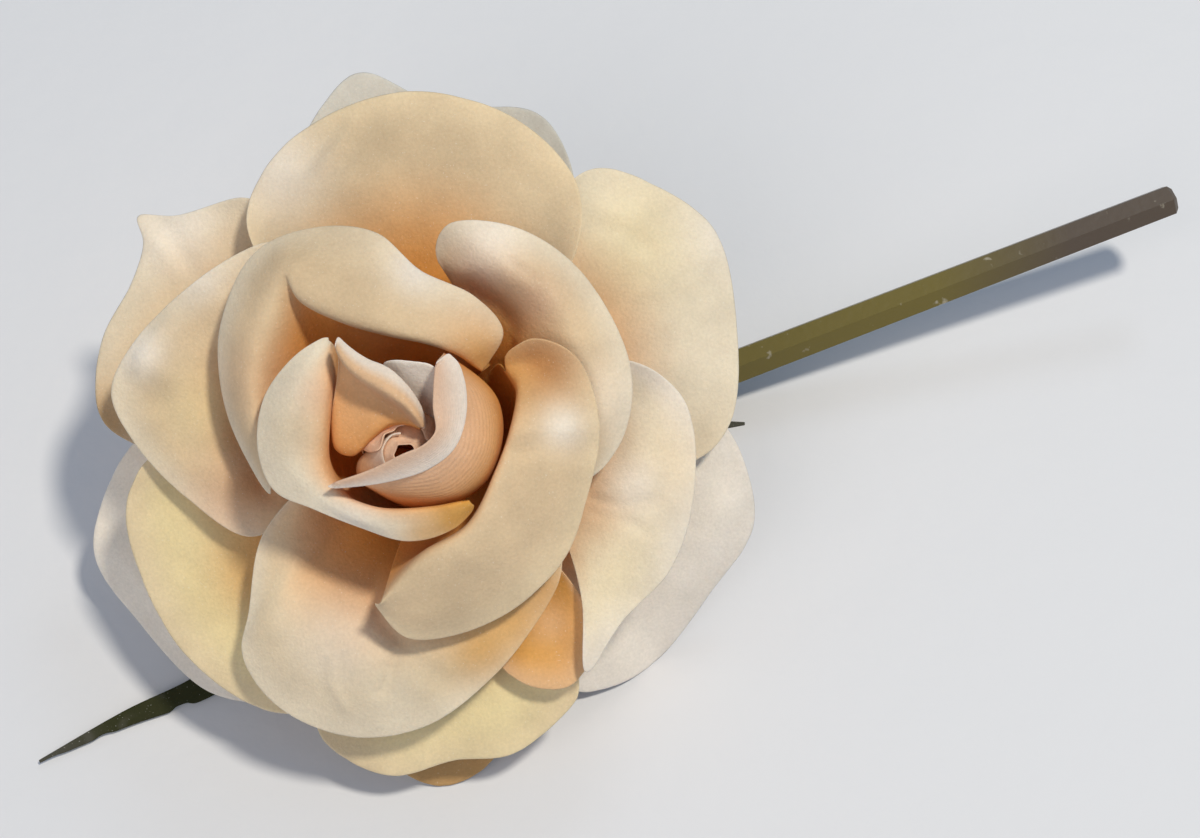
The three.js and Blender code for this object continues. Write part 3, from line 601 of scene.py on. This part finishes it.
def makeRoll():
    axis = Vector((*rollFacts["axis"], 0))
    noise.seed_set(rollFacts["crumpleSeed"])

    def pointAt(u, v):
        top = rollFacts["top"] - rollFacts["slope"] * u
        azimuth = rollFacts["start"] + rollFacts["turn"] * u
        lean = rollFacts["lean"] * (1 - smoothStep(rollFacts["leanFrom"], 1, v))
        radius = mix(rollFacts["inner"], rollFacts["outer"], u) + lean
        point = polar(azimuth, radius, mix(rollFacts["foot"], top, v))
        crumple = noise.noise_vector(point * rollFacts["crumpleScale"]) * rollFacts["crumple"]
        return point + crumple * smoothStep(*rollFacts["crumpleFrom"], u) + axis

    def colourAt(u, v, point):
        colour = mixedTowards(Vector(paperAndPaintedLightColours["peach"]), "pink", smoothStep(rollFacts["pinkFrom"], 1, v))
        # the gain is painted light that lightens the roll against the shade deep in the bud
        return colour * rollFacts["paintedLightGain"]

    makeSheet("bud_roll", pointAt, colourAt, rollFacts["steps"], petalPaper)


makeRoll()
print("rose: roll made")

# Sepals of dark green paper, each along a few points out from the hip. One edge is cut smooth and
# the other is ragged, and the tip is rubbed grey.
sepals = {
    "sepal_lower_left": [(-126, 6.6, -1.6), (-127, 20, 0.6), (-129, 38, 0.8), (-132, 52.5, 1.2),
                         (-137, 65, 3.4), (-140, 78.5, 6.2)],
    "sepal_right": [(-2, 6.6, -1.6), (-2, 18, -2), (0, 34, -4), (1, 48, -8)],
    "sepal_upper_right": [(66, 6.6, -1.6), (68, 18, 0.2), (72, 32, 1.2), (75, 46, -2)],
    "sepal_upper_left": [(142, 6.6, -1.6), (140, 20, 0.6), (138, 34, 1.6), (134, 45, -1)],
    "sepal_bottom": [(-66, 6.6, -1.6), (-65, 16, -1), (-62, 28, -2.4), (-58, 38, -3)],
}
sepalFacts = {
    "width": 5.2, "tipWidth": 0.5, "waist": 0.3, "aside": 0.001, "steps": (110, 6),
    "notch": 0.34, "notchScale": 17.0, "notchFrom": (0.05, 0.3), "raggedFrom": 0.5,
    "green": (0.030, 0.032, 0.010), "grey": (0.075, 0.072, 0.055), "wornFrom": (0.82, 0.97),
    "patch": 0.5, "patchScale": 0.5, "patchFrom": (0.1, 0.5), "glow": 0, "velvet": 0.05,
}


def makeSepal(name, line, seed, material):
    middle = [polar(*point) for point in line]

    def pointAt(u, v):
        aside = sepalFacts["aside"]
        ahead = curveAt(middle, min(u + aside, 1)) - curveAt(middle, max(u - aside, 0))
        across = ahead.cross(Vector((0, 0, 1))).normalized()
        swell = math.sin(math.pi * mix(sepalFacts["waist"], 1, u))
        width = mix(sepalFacts["tipWidth"], sepalFacts["width"], swell)
        rough = noise.noise(Vector((u * sepalFacts["notchScale"], seed, 0)))
        notch = sepalFacts["notch"] * smoothStep(*sepalFacts["notchFrom"], rough)
        notch *= smoothStep(sepalFacts["raggedFrom"], 1, v)
        return curveAt(middle, u) + across * (gridHalf - v + notch * (v - gridHalf)) * width

    def colourAt(u, v, point):
        rubbed = smoothStep(*sepalFacts["patchFrom"], noise.noise(point * sepalFacts["patchScale"]))
        worn = smoothStep(*sepalFacts["wornFrom"], u) + sepalFacts["patch"] * rubbed
        return Vector(sepalFacts["green"]).lerp(Vector(sepalFacts["grey"]), min(worn, 1))

    makeSheet(name, pointAt, colourAt, sepalFacts["steps"], material)


sepalPaper = crepeMaterial("sepalCrepe", glow=sepalFacts["glow"], velvet=sepalFacts["velvet"])
for seed, (name, line) in enumerate(sepals.items()):
    makeSepal(name, line, seed, sepalPaper)
print("rose: sepals made")


# Finishes of the pieces that keep the model's own form. The stem turns from olive to purple-brown
# along its length and is rubbed pale in places.
stemFacts = {
    "olive": (0.150, 0.116, 0.021), "brown": (0.092, 0.066, 0.047), "scuff": (0.42, 0.38, 0.30),
    "turnsAt": (0.050, 0.072), "roughness": 0.42, "worn": (420, 3), "wornFrom": (0.66, 0.72),
    "wornTo": (0, 0.7), "bump": (700, 4, 0.4, 0.0002),
}


def stemMaterial():
    finish = Finish("stemFinish", stemFacts["roughness"])
    split = finish.nodes.new("ShaderNodeSeparateXYZ")
    finish.links.new(finish.coordinates, split.inputs["Vector"])
    along = finish.ranged(split.outputs["X"], *stemFacts["turnsAt"])
    colour = finish.mixed(along, stemFacts["olive"], stemFacts["brown"])
    worn = finish.ranged(finish.grain(*stemFacts["worn"]), *stemFacts["wornFrom"], stemFacts["wornTo"])
    finish.colour(finish.mixed(worn, colour, stemFacts["scuff"]))
    finish.roughened(*stemFacts["bump"])
    return finish.material


# The hip and the cone, hidden under the petals
grainFacts = {"texture": (600, 4), "spread": (0.3, 0.7), "bump": (0.4, 0.0002)}
hipFacts = {"dark": (0.022, 0.026, 0.008), "light": (0.045, 0.048, 0.018), "roughness": 0.75}
coneFacts = {"dark": (0.66, 0.34, 0.14), "light": (0.78, 0.46, 0.24), "roughness": 0.85}


def grainyMaterial(name, facts):
    finish = Finish(name, facts["roughness"])
    grain = finish.grain(*grainFacts["texture"])
    finish.colour(finish.mixed(finish.ranged(grain, *grainFacts["spread"]), facts["dark"], facts["light"]))
    finish.bumped(grain, *grainFacts["bump"])
    return finish.material


nodeFinishes = {
    "stem": stemMaterial(),
    "rose_hip": grainyMaterial("hipFinish", hipFacts),
    "petal_cone": grainyMaterial("conePaper", coneFacts),
}
for nodeName, finish in nodeFinishes.items():
    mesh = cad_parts[nodeName].data
    mesh.materials.clear()
    mesh.materials.append(finish)
print("rose: stem, hip and cone finished")


# Pale table, soft sky and three windows: a small warm one high at the right, a cool one high at the
# back and a wide warm one at the front left
roomFacts = {
    "table": (0.75, 0.755, 0.80), "tableSize": 4, "tableRoughness": 0.85, "tableBump": (90, 4, 0.35, 0.001),
    "sky": (0.56, 0.76, 1.0), "skyStrength": 0.27,
}
windows = {
    "warm": {
        "towards": (6.2, -0.5, 19.5), "away": 1.1, "size": 0.13, "power": 7.6, "colour": (1.0, 0.94, 0.80),
    },
    "cool": {
        "towards": (6.2, 15.7, 19.5), "away": 1.2, "size": 0.3, "power": 1.1, "colour": (0.70, 0.84, 1.0),
    },
    "front": {
        "towards": (-8.0, -12.0, 14.0), "away": 1.2, "size": 0.9, "power": 3.6, "colour": (1.0, 0.90, 0.80),
    },
}


def makeRoom():
    bpy.ops.mesh.primitive_plane_add(size=roomFacts["tableSize"])
    table = bpy.context.object
    table.name = "table"
    finish = Finish("tableFinish", roomFacts["tableRoughness"])
    finish.shader.inputs["Base Color"].default_value = (*roomFacts["table"], 1)
    finish.roughened(*roomFacts["tableBump"])
    table.data.materials.append(finish.material)
    world = bpy.data.worlds.new("room")
    world.use_nodes = True
    background = world.node_tree.nodes["Background"]
    background.inputs["Color"].default_value = (*roomFacts["sky"], 1)
    background.inputs["Strength"].default_value = roomFacts["skyStrength"]
    bpy.context.scene.world = world
    for name, facts in windows.items():
        data = bpy.data.lights.new(name + "Window", "AREA")
        data.shape = "DISK"
        data.size = facts["size"]
        data.energy = facts["power"]
        data.color = facts["colour"]
        lamp = bpy.data.objects.new(name + "Window", data)
        bpy.context.collection.objects.link(lamp)
        direction = Vector(facts["towards"]).normalized()
        lamp.location = direction * facts["away"]
        lamp.rotation_euler = direction.to_track_quat("Z", "Y").to_euler()


makeRoom()
bpy.context.scene.view_settings.view_transform = "Standard"
print("rose: room made")
